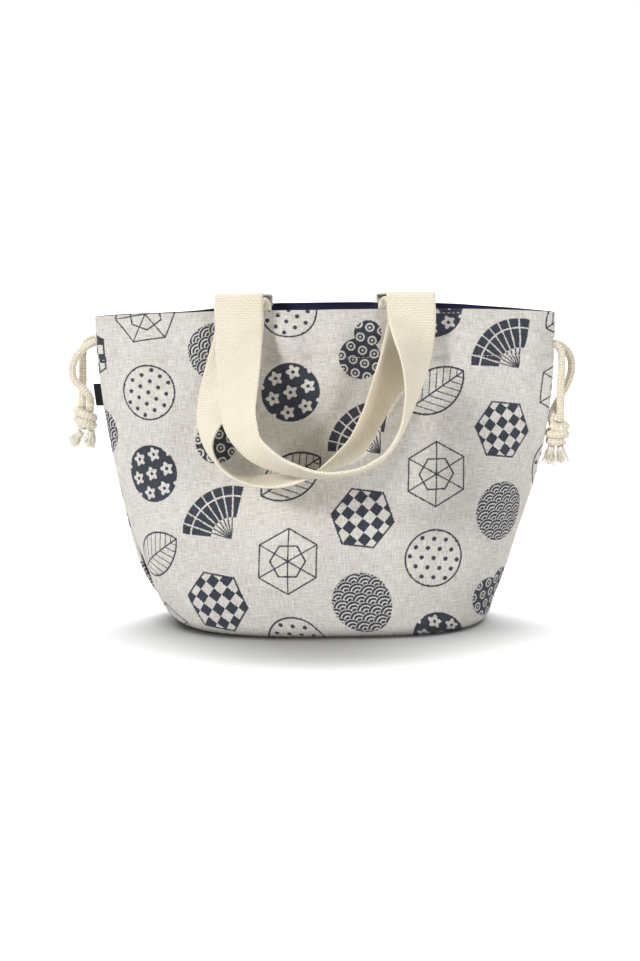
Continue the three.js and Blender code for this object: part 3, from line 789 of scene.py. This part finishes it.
_, _, seam_width = half_section(label_level)
_, _, seam_above = half_section(label_level + MM)
seam_slope = (seam_above - seam_width + lean(label_level) - lean(label_level + MM)) / MM
seam_x = lean(label_level) - seam_width
label_z = label_level - seam_droop(label_level)
flat_run = np.linspace(label_sewn, label_fold_radius - label_reach, 8)
fold_turns = np.linspace(math.pi / 2, 1.5 * math.pi, 9)[1:-1]
centre_line = [(x, label_fold_radius) for x in flat_run]
for turn in fold_turns:
    out = flat_run[-1] + label_fold_radius * math.cos(turn)
    centre_line.append((out, label_fold_radius * math.sin(turn)))
centre_line += [(x, -label_fold_radius) for x in flat_run[::-1]]
centre_line = np.array(centre_line)
ahead = np.gradient(centre_line, axis=0)
ahead /= np.linalg.norm(ahead, axis=1, keepdims=True)
facing = np.stack([-ahead[:, 1], ahead[:, 0]], axis=1)
layers = []
for push in (1, -1):
    layer = []
    for height in np.linspace(-label_height / 2, label_height / 2, 15):
        thinned = ribbon_edge_thinning * (1 - ramp(label_height / 2 - abs(height), 0, ribbon_edge))
        line = centre_line + facing * push * (ribbon_thickness / 2 - thinned)
        bow = label_bow * np.sin(3.0 * line[:, 0] / label_reach + 1.1) * height / label_height
        z = np.full(len(line), label_z + height)
        layer.append(np.stack([seam_x - seam_slope * height + line[:, 0], line[:, 1] + bow, z], axis=1))
    layers.append(np.array(layer))
label = grid_shell("side_ribbon", *layers, black_ribbon, lambda row, spot: (spot[1], spot[0]))
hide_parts("side_label")

# Handles: two straps of cream cotton webbing, woven in ribs. The ends of each are sewn between cloth and
# lining at one edge of the mouth. Both lie over the front: the front strap underneath, and the rear strap
# across the mouth.
webbing_width = 30 * MM
webbing_thickness = 2 * MM
root_across = handle_spacing / 2
tab_length = 9.5 * MM
tab_rise = 2.3 * MM
tab_inset = 2.5 * MM
fold_radius = 4 * MM
strap_clearance = 0.7 * MM
thread_wide = 1.6
thread_long = 1.5
cream_webbing, start = new_finish("cream_webbing")
place, u, v = flat_place(start, "strap")
row = (v / thread_long).math("FLOOR")
gap_x = fold(u + (row % 2) * (thread_wide / 2), thread_wide)
gap_y = fold(v - thread_long / 2, thread_long)
# Distance from the hollows between the threads: the weave's bump height, and also where shade is painted into
# the hollows.
weave_relief_and_shade = (far(gap_x * 1.15, gap_y) / 0.8).clamped()
grime = streaks(start, place, 0.05, 0.05)
fibre = streaks(start, place, 2.2, 0.6)
# The hollows of the weave are painted darker, towards a tan, as painted shade; fibre and grime streaks vary
# the tone at random.
tone = (weave_relief_and_shade * 0.75 + fibre * 0.3 + grime * 0.2 - 0.12).clamped()
cream = tone.mix(dye(202, 184, 145), dye(244, 238, 223))
fabric_finish(start, cream, weave_relief_and_shade + fibre * 0.3, bump_depth=0.4 * MM)


def smooth_route(points, steps, loose=0.5):
    """A smooth line through points, as a Catmull-Rom curve: loose 0 is the uniform kind."""
    points = np.array(points, float)
    padded = np.concatenate([[2 * points[0] - points[1]], points, [2 * points[-1] - points[-2]]])
    places = []
    for t in np.linspace(0, len(points) - 1, steps + 1):
        k = min(int(t), len(points) - 2)
        before, a, b, after = padded[k:k + 4]
        pairs = [(before, a), (a, b), (b, after)]
        first, gap, last = [max(np.linalg.norm(q[:3] - p[:3]), 1e-9) ** loose for p, q in pairs]
        leave = ((a - before) / first - (b - before) / (first + gap) + (b - a) / gap) * gap
        arrive = ((b - a) / gap - (after - a) / (gap + last) + (after - b) / last) * gap
        s = t - k
        places.append(a + leave * s + (3 * (b - a) - 2 * leave - arrive) * s**2
                      + (2 * (a - b) + leave + arrive) * s**3)
    return np.array(places)


def unit(vector):
    return vector / np.linalg.norm(vector)


def front_face(x, z):
    """How far forward the front cloth stands."""
    line, depth, _ = half_section(z)
    return -float(np.interp(x - lean(z), line, depth))


def cloth_facing(x, z):
    """The way the front cloth faces, straight forward at the mouth's edge."""
    reach = 2 * MM
    slope_x = (front_face(x + reach, z) - front_face(x - reach, z)) / (2 * reach)
    slope_z = (front_face(x, z) - front_face(x, z - reach)) / reach
    hanging = float(ramp(bag_height - z, 0, 20 * MM))
    return unit(np.array([slope_x * hanging, -1, slope_z * hanging]))


tab_top = bag_height + tab_rise
root_line, root_depth, _ = half_section(bag_height)
front_tab = -(float(np.interp(sewn_across, root_line, root_depth)) - tab_inset)
slant_reach = np.interp([sewn_across - MM, sewn_across + MM], root_line, root_depth)
edge_slant = (slant_reach[0] - slant_reach[1]) / (2 * MM)
back_tab = -front_tab
front_fold = (front_tab - fold_radius, tab_top, fold_radius)
over_fold = (front_fold[0], tab_top, fold_radius + webbing_thickness + strap_clearance)
back_fold = (back_tab - fold_radius, tab_top, fold_radius)
bridge_slope = math.asin((over_fold[2] - back_fold[2]) / (back_fold[0] - over_fold[0]))
lift = math.pi / 2 - bridge_slope

# Each row: place across the mouth in halves of the handle spacing, drop below the edge as a share of the
# loops' drop, how far the nearer edge is off the cloth in strap widths, and the strap's turn in degrees,
# where 180 lies flat.
loop_drop = 102 * MM
flat_turn = 180
front_loop_rows = [
    [-1, 0.12, 0.04, 180], [-1.1, 0.32, 0.04, 177], [-1.24, 0.53, 0.045, 160], [-1.33, 0.69, 0.05, 130],
    [-1.32, 0.82, 0.06, 108], [-1.18, 0.92, 0.06, 93], [-0.93, 0.98, 0.06, 79], [-0.65, 0.995, 0.06, 72],
    [-0.38, 0.98, 0.06, 74], [-0.17, 0.952, 0.06, 83], [0.01, 0.91, 0.06, 94], [0.19, 0.855, 0.06, 105],
    [0.37, 0.775, 0.06, 114], [0.53, 0.63, 0.055, 119], [0.68, 0.46, 0.05, 129], [0.86, 0.29, 0.045, 152],
    [1, 0.11, 0.04, 178],
]
rear_loop_rows = [
    [-1, 0.12, 0.17, 176], [-1, 0.34, 0.4, 162], [-0.99, 0.53, 0.83, 150], [-0.93, 0.66, 1.02, 136],
    [-0.8, 0.77, 1.02, 120], [-0.55, 0.85, 1.02, 106], [-0.28, 0.893, 1.08, 97], [-0.02, 0.912, 1.14, 91],
    [0.26, 0.902, 1.1, 90], [0.47, 0.87, 0.98, 91], [0.67, 0.81, 0.78, 93], [0.83, 0.7, 0.54, 98],
    [0.94, 0.54, 0.38, 108], [1, 0.36, 0.28, 128], [1.01, 0.12, 0.16, 165],
]


def loop_stations(rows, hang, steps=260):
    """Centres of a hanging loop with the ways along and across the strap."""
    places = [[mouth_shift - root_across, hang, tab_top, flat_turn]]
    for share, fall, off, turn in rows:
        x = mouth_shift + share * root_across
        z = bag_height - fall * loop_drop
        standing = abs(math.sin(math.radians(turn))) / 2
        y = front_face(x, z) - (off + standing) * webbing_width - webbing_thickness / 2
        places.append([x, y, z, turn])
    places.append([mouth_shift + root_across, hang, tab_top, flat_turn])
    line = smooth_route(places, steps, 0)
    along = np.gradient(line[:, :3], axis=0)
    along[0] = (0, 0, -1)
    along[-1] = (0, 0, 1)
    stations = []
    for (x, y, z, turn), ahead in zip(line, along):
        ahead = unit(ahead)
        outwards = cloth_facing(x, z)
        flat = unit(np.cross(ahead, outwards))
        standing = unit(outwards - ahead * ahead.dot(outwards))
        angle = math.radians(turn)
        stations.append((np.array([x, y, z]), ahead, math.cos(angle) * flat + math.sin(angle) * standing))
    return stations


def root_station(side, slant, inset, y, z, along):
    """One centre at a strap's root, with the ways along and across the strap there."""
    centre = np.array([mouth_shift + side * (root_across - inset), y, z])
    return centre, np.array(along, float), unit(np.array([1, side * slant, 0]))


def on_arc(arc, angle):
    y, z, radius = arc
    return np.array([y + radius * math.cos(angle), z + radius * math.sin(angle)])


def fold_stations(side, slant, insets, fold_arc, start_angle, end_angle):
    """A bend round an arc, on which the strap's inset changes and its slant is lost."""
    made = []
    for angle in np.linspace(start_angle, end_angle, 12)[1:-1]:
        ease = (angle - start_angle) / (end_angle - start_angle)
        along = (0, -math.sin(angle), math.cos(angle))
        inset = insets[0] + (insets[1] - insets[0]) * ease
        made.append(root_station(side, slant * (1 - ease), inset, *on_arc(fold_arc, angle), along))
    return made


def bridge_stations(side, low, high):
    """A stretch of the rear strap across the mouth, between two shares of the way forward."""
    back = on_arc(back_fold, lift)
    front = on_arc(over_fold, lift)
    along = unit(front - back)
    shares = np.linspace(low, high, 12)
    spots = [(root_inset * (1 - share), *(back + (front - back) * share)) for share in shares]
    return [root_station(side, 0, *spot, (0, *along)) for spot in spots]


def root_ends(slant, tab_y, *bend):
    """A strap's stations at its left and its right root, each from the sewn end outwards."""
    heights = np.linspace(bag_height - tab_length, tab_top, 8)
    ends = []
    for side in (-1, 1):
        tab = [root_station(side, slant, root_inset, tab_y, z, (0, 0, 1)) for z in heights]
        ends.append(tab + fold_stations(side, slant, *bend))
    return ends


def returning(stations):
    """The same stretch walked the other way."""
    return [(centre, -along, -across) for centre, along, across in stations[::-1]]


def tube_places(around, runs):
    """Each face's corners' place on a tube's flattened skin, from places round it and along it."""
    places = []
    for low, high in zip(runs, runs[1:]):
        for a, b in zip(around, around[1:]):
            places.append([(a, low), (b, low), (b, high), (a, high)])
    return places


def strap_mesh(name, stretches):
    """Webbing through stations: a flat band that thins to round edges."""
    columns = 22
    edge_from = 0.94
    edge_thinning = 0.92
    shares = np.linspace(-1, 1, columns + 1)
    flat = [share * webbing_width / 2 / MM for share in shares]
    flat += flat[::-1]
    points = []
    faces = []
    corners = []
    for stations in stretches:
        faces += tube_faces(len(points), len(stations), len(flat))
        for centre, along, across in stations:
            level = unit(across - along * across.dot(along))
            through = np.cross(along, level)
            for face in (1, -1):
                for share in shares[::face]:
                    edge = max(0.0, (abs(share) - edge_from) / (1 - edge_from))
                    thick = webbing_thickness / 2 * math.sqrt(max(0.0, 1 - edge_thinning * edge**2))
                    points.append(centre + level * share * webbing_width / 2 + through * face * thick)
        runs = walked(np.array([centre for centre, _, _ in stations])) / MM
        corners += tube_places(flat + flat[:1], runs)
        corners += [[(value, runs[0]) for value in flat[::-1]], [(value, runs[-1]) for value in flat]]
    piece = joined_mesh(name, points, faces, cream_webbing, None, "strap", corners)
    return piece


front_hang = front_fold[0] - front_fold[2]
left, right = root_ends(edge_slant, front_tab, (root_inset, 0), front_fold, 0, math.pi)
front_strap = strap_mesh(
    "front_handle_strap", [left + loop_stations(front_loop_rows, front_hang) + returning(right)]
)
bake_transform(front_strap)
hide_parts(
    "front_handle_loop", "front_handle_left_tab", "front_handle_left_fold",
    "front_handle_right_tab", "front_handle_right_fold",
)

half_way = 0.45
left, right = root_ends(-edge_slant, back_tab, (root_inset, root_inset), back_fold, 0, lift)
roots = [left + bridge_stations(-1, 0, half_way), right + bridge_stations(1, 0, half_way)]
rear_roots = strap_mesh("rear_handle_roots", roots)
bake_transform(rear_roots)
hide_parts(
    "rear_handle_left_tab", "rear_handle_right_tab", "rear_handle_left_back_fold",
    "rear_handle_right_back_fold", "rear_handle_left_bridge", "rear_handle_right_bridge",
)

rear_hang = over_fold[0] - over_fold[2]
left, right = [
    bridge_stations(side, half_way, 1) + fold_stations(side, 0, (0, 0), over_fold, lift, math.pi)
    for side in (-1, 1)
]
rear_strap = strap_mesh(
    "rear_handle_strap", [left + loop_stations(rear_loop_rows, rear_hang) + returning(right)]
)
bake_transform(rear_strap)
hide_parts("rear_handle_loop", "rear_handle_left_front_fold", "rear_handle_right_front_fold")

# Drawcords: two soft braided cotton cords. Each runs once round the casing, turns at the far seam, leaves by
# its own side seam and hangs there in two strands, which an overhand knot joins above their frayed ends.
cord_diameter = 5 * MM
strand_spacing = 5.4 * MM
braid_strands = 8
braid_lay = 7 * MM
braid_height = 0.3 * MM
exit_slot_depth = 8 * MM
cord_lead = 2 * MM
cord_inset = 1.8 * MM + cord_diameter / 2
casing_steps = 400
strand_steps = 160
cream_cord, start = new_finish("cream_cord")
place, u, v = flat_place(start, "braid")
fibre = streaks(start, place, 2.5, 0.8)
tufts = streaks(start, place, 0.35, 0.35)
winding = u * (braid_strands / (cord_diameter / MM))
laid = v * (2 * math.tau / (braid_lay / MM))
# The braid's yarn pattern: its bump height, and also painted shade in the gaps between yarns with a painted
# highlight on their crests.
braid_relief_and_shade = (winding + laid).math("COSINE") * (winding - laid).math("COSINE")
# The tone mixes the braid's painted shade and highlight, down to a tan, with random fibre and tuft streaks.
tone = (fibre * 0.4 + tufts * 0.3 + braid_relief_and_shade * 0.22 + 0.3).clamped()
cream = tone.mix(dye(198, 178, 136), dye(252, 246, 232))
fabric_finish(start, cream, fibre + braid_relief_and_shade, bump_depth=0.3 * MM, roughness=0.95, sheen=0.25)

loose_yarn, start = new_finish("loose_yarn")
place = start.node("TexCoord", {}, {}, "Object")
fibre = start.node("TexNoise", {}, {"Vector": place, "Scale": 900.0})
pale = fibre.mix(dye(240, 232, 212), dye(255, 252, 244))
fabric_finish(start, pale, fibre, bump_depth=0.05 * MM, roughness=0.95, sheen=0.3)


def cord_mesh(name, routes, diameter, body=None, braided=None):
    """Braided cord along routes. Two sets of yarns wind in opposite ways, so bumps stand where they cross.
    braided gives how far the braid stands out at a place, or it stands out fully."""
    sides = 24
    around = [math.pi * diameter / MM / sides * k for k in range(sides + 1)]
    points = []
    faces = []
    corners = []
    for route in routes:
        faces += tube_faces(len(points), len(route), sides)
        runs = walked(route)
        along = np.gradient(route, axis=0)
        along /= np.linalg.norm(along, axis=1, keepdims=True)
        level = unit(np.cross(along[0], (0.3, 1, 0.2)))
        for centre, ahead, run in zip(route, along, runs):
            level = unit(level - ahead * ahead.dot(level))
            other = np.cross(ahead, level)
            depth = braid_height * (1.0 if braided is None else braided(centre))
            lay = 2 * math.tau * run / braid_lay
            for k in range(sides):
                turn = math.tau * k / sides
                wound = braid_strands / 2 * turn
                radius = diameter / 2 - depth / 2 + depth * math.cos(wound + lay) * math.cos(wound - lay)
                points.append(centre + radius * (math.cos(turn) * level + math.sin(turn) * other))
        corners += tube_places(around, runs / MM) + [[(k, 0) for k in range(sides)]] * 2
    piece = joined_mesh(name, points, faces, cream_cord, body, "braid", corners)
    return piece


def even_route(route, step=0.6 * MM):
    """The same route in steps of one length."""
    runs = walked(route)
    spots = np.linspace(0, runs[-1], max(2, round(runs[-1] / step)) + 1)
    return np.stack([np.interp(spots, runs, route[:, k]) for k in range(3)], axis=1)


def cord_place(across, y, level):
    """A place in the casing, which droops to the seams with the cloth."""
    _, _, width = half_section(level)
    return [mouth_shift + across, y, level - float(seam_droop(level, across / width))]


def casing_route(side, level):
    """Once round the casing: along the front, round a bend short of the far seam, and along the back."""
    line, depth, width = half_section(level)
    exit_at = width - exit_slot_depth
    turn_at = width - cord_turn_setback
    apart = strand_spacing / 2
    half = [[side * exit_at, apart]]
    for share in np.linspace(0, 1, 17):
        from_exit = cord_lead + (exit_at + turn_at - cord_lead) * share**1.6
        beside = float(np.interp(exit_at - from_exit, line, depth)) - cord_inset
        spread = float(ramp(from_exit, cord_lead, cord_lead + cord_turn_setback - exit_slot_depth))
        half.append([side * (exit_at - from_exit), apart + (beside - apart) * spread])
    radius = half[-1][1]
    turns = np.radians([-60, -30, 0, 30, 60])
    bend = [[-side * (turn_at + radius * math.cos(t)), radius * math.sin(t)] for t in turns]
    path = [[x, -y] for x, y in half] + bend + half[::-1]
    return even_route(smooth_route([cord_place(x, y, level) for x, y in path], casing_steps), 1.2 * MM)


# The free strands are in millimetres from the bag's middle, and the knot's two windings in cord diameters
# from its own.
knot_half_height = 1.5 * cord_diameter
knot_lead = 3.3 * MM
knot_cord = cord_diameter + 0.8 * MM
knot_girth = np.array([1.1, 1.1, 1])
knot_clearance = 1.0 * MM
joint_gap = 0.3 * MM
knot_centres = {"left": np.array([-155.2, 0, 131]) * MM, "right": np.array([142.6, -1, 118]) * MM}
knot_facing = {"left": (1, 1, 1), "right": (-1, -1, 1)}
strand_routes = {
    ("left", "front"): [
        [-144, -2.7, 180], [-149, -2.8, 179], [-154.7, -3.2, 176], [-160.2, -3.7, 170.4],
        [-162.9, -4.2, 163.4], [-162.6, -4.5, 157.4], [-160.2, -4.6, 153.6], [-155.5, -4.2, 148.9],
        [-153.2, -2.6, 145.4],
    ],
    ("left", "back"): [
        [-144, 2.7, 180.3], [-148.5, 2.8, 180.9], [-152.9, 2.9, 179.6], [-155.9, 3, 176.2], [-157, 3, 171.4],
        [-157.2, 2.9, 165], [-157.3, 2.6, 158.5], [-157.5, 2, 152], [-157.8, 1, 146],
    ],
    ("right", "front"): [
        [138.9, -2.7, 175.05], [142.7, -2.8, 173.9], [145.1, -3, 170.3], [145.6, -3.3, 163.5],
        [145.2, -3.5, 154], [145, -3.2, 144], [145.3, -1.9, 134.5],
    ],
    ("right", "back"): [
        [139.5, 2.7, 175.1], [144.5, 2.8, 174], [149.4, 3, 170.5], [152.4, 3.3, 164.5],
        [152.6, 3.7, 156.5], [149.8, 4.1, 148], [145.6, 4, 140.2], [141.6, 2.4, 132.8],
    ],
}
knot_turn = [
    [0.54, 0, 1.5], [0.54, 0, 1.25], [0.4, 0.46, 0.9], [-0.2, 0.8, 0.78], [-0.84, 0.36, 0.92],
    [-0.76, -0.5, 0.84], [0, -0.86, 0.52], [0.76, -0.5, 0.14], [0.86, 0.34, -0.06], [0.2, 0.8, -0.04],
    [-0.6, 0.64, 0], [-0.88, 0, -0.13], [-0.6, -0.66, -0.34], [0.1, -0.86, -0.64], [0.78, -0.46, -0.9],
    [0.7, 0.28, -1], [0.12, 0.34, -1], [-0.42, 0.08, -1.1], [-0.54, 0, -1.3], [-0.54, 0, -1.5],
]
knot_second_strand = [
    [-0.54, 0, 1.5], [-0.54, 0, 1.25], [-0.24, 0.06, 0.7], [0, 0.08, 0], [0.3, 0, -0.8],
    [0.54, 0, -1.28], [0.54, 0, -1.5],
]
tail_spread = {"left": (-0.8, -0.15), "right": (-0.16, 0.22)}
tail_length = 12 * MM
yarn_count = 170
yarn_bundle_radius = 2.2 * MM
yarn_curl = 1.8 * MM
yarn_taper = 0.55
yarn_rings = 7
yarn_sides = 4


def braid_outside(at):
    """The braid is pressed smooth inside the seam and stands out beyond it."""
    return float(ramp(abs(at[0] - mouth_shift), 140 * MM, 147 * MM))


def frayed_end(name, start_at, direction, seed, body):
    """A cord end that has come apart into loose yarns, which open out of it."""
    draw = random.Random(seed)
    points = []
    faces = []
    level = unit(np.cross(direction, (0.2, 1, 0.1)))
    other = np.cross(direction, level)
    for _ in range(yarn_count):
        turn = draw.uniform(0, math.tau)
        reach = math.sqrt(draw.random())
        out = math.cos(turn) * level + math.sin(turn) * other
        root = start_at + out * reach * yarn_bundle_radius + direction * draw.uniform(-0.5, 1.5) * MM
        length = tail_length * draw.uniform(0.5, 1.0)
        flare = reach * draw.uniform(0.6, 4.2) * MM
        curl = np.array([draw.uniform(-1, 1) for _ in range(3)]) * yarn_curl
        thick = draw.uniform(0.18, 0.32) * MM
        faces += tube_faces(len(points), yarn_rings, yarn_sides)
        for share in np.linspace(0, 1, yarn_rings):
            astray = out * flare * share**1.5 + curl * math.sin(3.4 * share) * share
            centre = root + direction * length * share + astray
            points += ring_of(centre, thick * (1 - yarn_taper * share), yarn_sides, level, other, turn)
    piece = joined_mesh(name, points, faces, loose_yarn, body)
    return piece


for hand, side in [("left", -1), ("right", 1)]:
    level = bag_height - cord_drops[hand]
    body = f"{hand}_pull"
    centre = knot_centres[hand]
    run = cord_mesh(f"{hand}_cord_in_casing", [casing_route(side, level)], cord_diameter, "bag")
    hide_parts(f"{hand}_cord_run")
    windings = []
    for places in (knot_turn, knot_second_strand):
        points = np.array(places) * knot_facing[hand] * knot_girth * cord_diameter + centre
        points[:, 0] += side * knot_clearance
        windings.append(even_route(smooth_route(points, strand_steps)))
    knot = cord_mesh(f"{hand}_overhand_knot", windings, knot_cord, body)
    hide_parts(f"{hand}_knot")
    tails = []
    for index, word in enumerate(["outer", "inner"]):
        direction = unit(np.array([tail_spread[hand][index], 0, -1]))
        start_at = centre + np.array([(index * 2 - 1) * strand_spacing / 2, 0, -knot_half_height - joint_gap])
        start_at += direction * abs(direction[0]) * cord_diameter / 2
        tail = frayed_end(f"{hand}_{word}_frayed_end", start_at, direction, 10 * side + index, body)
        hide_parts(f"{hand}_{word}_tail")
        tails.append(tail)
    _, _, width = half_section(level)
    for word, layer in [("front", -1), ("back", 1)]:
        inner_end = cord_place(side * (width - exit_slot_depth), layer * strand_spacing / 2, level)
        top = centre + np.array([-layer * strand_spacing / 2, 0, knot_half_height])
        points = [inner_end, *(np.array(strand_routes[hand, word]) * MM), top + [0, 0, knot_lead], top]
        route = even_route(smooth_route(points, strand_steps))
        strand = cord_mesh(f"{hand}_{word}_cord", [route], cord_diameter, braided=braid_outside)
        level - MM
        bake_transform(strand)
        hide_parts(f"{hand}_{word}_strand")
        [knot, *tails] if word == "front" else []

# Studio: a white floor that keeps the bag's soft shadow, wide soft lights that shape the cloth, and a camera
# that stands where the photograph was taken from.
floor_size = 6.0
floor_grey = 0.36
floor_shown_gain = 0.22
sky_strength = 0.25
sky_shown_gain = 0.75


def shown_rays(start):
    """1 for the rays that show the stage itself, straight on, in a gloss or through something clear."""
    camera, gloss, clear = [
        start.node("LightPath", {}, {}, f"Is {ray} Ray") for ray in ("Camera", "Glossy", "Transmission")
    ]
    return larger(larger(camera, gloss), clear)


white_floor, start = new_finish("white_floor")
level = shown_rays(start) * floor_shown_gain + floor_grey
bright = start.node("CombineColor", {}, {0: level, 1: level, 2: level})
paper = start.node("BsdfDiffuse", {}, {"Color": bright})
start.node("OutputMaterial", {}, {"Surface": paper})
floor = joined_mesh(
    "studio_floor",
    [(x * floor_size, y * floor_size, 0) for x, y in [(-1, -1), (1, -1), (1, 1), (-1, 1)]],
    [[0, 1, 2, 3]],
    white_floor,
)

world = bpy.data.worlds.new("studio_world")
bpy.context.scene.world = world
world.use_nodes = True
world.node_tree.nodes.clear()
start = Wire(world.node_tree)
strength = shown_rays(start) * sky_shown_gain + sky_strength
sky = start.node("Background", {}, {"Color": (1, 1, 1, 1), "Strength": strength})
start.node("OutputWorld", {}, {"Surface": sky})

# Lights in front and above shape the bag. Others, high behind it, light the floor alone and throw the bag's
# shadow forward. Each row: name, direction from the bag, strength, spread in degrees, and what it lights.
bag_pieces = bpy.data.collections.new("bag_pieces")
for piece in bpy.context.scene.objects:
    if piece.type == "MESH" and piece != floor:
        bag_pieces.objects.link(piece)
bare_floor = bpy.data.collections.new("bare_floor")
bare_floor.objects.link(floor)
studio_lights = [
    ("key_light", (-0.82, -0.62, 0.52), 2.25, 16, bag_pieces),
    ("fill_light", (0.95, -0.65, 0.0), 2.25, 40, bag_pieces),
    ("back_light", (0, 0.6, 1), 2.2, 40, bag_pieces),
]
floor_light_beside = 0.48
floor_light_behind = 0.4
for turn in (-70, -35, 0, 35, 70):
    direction = (floor_light_beside * math.sin(math.radians(turn)), floor_light_behind, 1)
    studio_lights.append((f"floor_light_{turn}", direction, 1.9, 40, bare_floor))
for name, direction, strength, spread, lit_pieces in studio_lights:
    data = bpy.data.lights.new(name, "SUN")
    data.energy = strength
    data.angle = math.radians(spread)
    lamp = bpy.data.objects.new(name, data)
    bpy.context.scene.collection.objects.link(lamp)
    lamp.location = direction
    lamp.rotation_euler = Vector(direction).to_track_quat("Z", "Y").to_euler()
    lamp.light_linking.receiver_collection = lit_pieces

view_elevation = math.radians(9)
view_distance = 1.2
view_target = Vector((-7.6 * MM, 0, 89 * MM))
view_roll = math.radians(-0.6)
view_lens = 70.4
camera_data = bpy.data.cameras.new("camera")
camera_data.lens = view_lens
camera = bpy.data.objects.new("camera", camera_data)
bpy.context.scene.collection.objects.link(camera)
towards_camera = Vector((0, -math.cos(view_elevation), math.sin(view_elevation)))
camera.location = view_target + towards_camera * view_distance
level_view = (view_target - camera.location).to_track_quat("-Z", "Y")
camera.rotation_euler = (level_view @ Quaternion((0, 0, 1), view_roll)).to_euler()
bpy.context.scene.camera = camera
bpy.context.scene.view_settings.view_transform = "Standard"
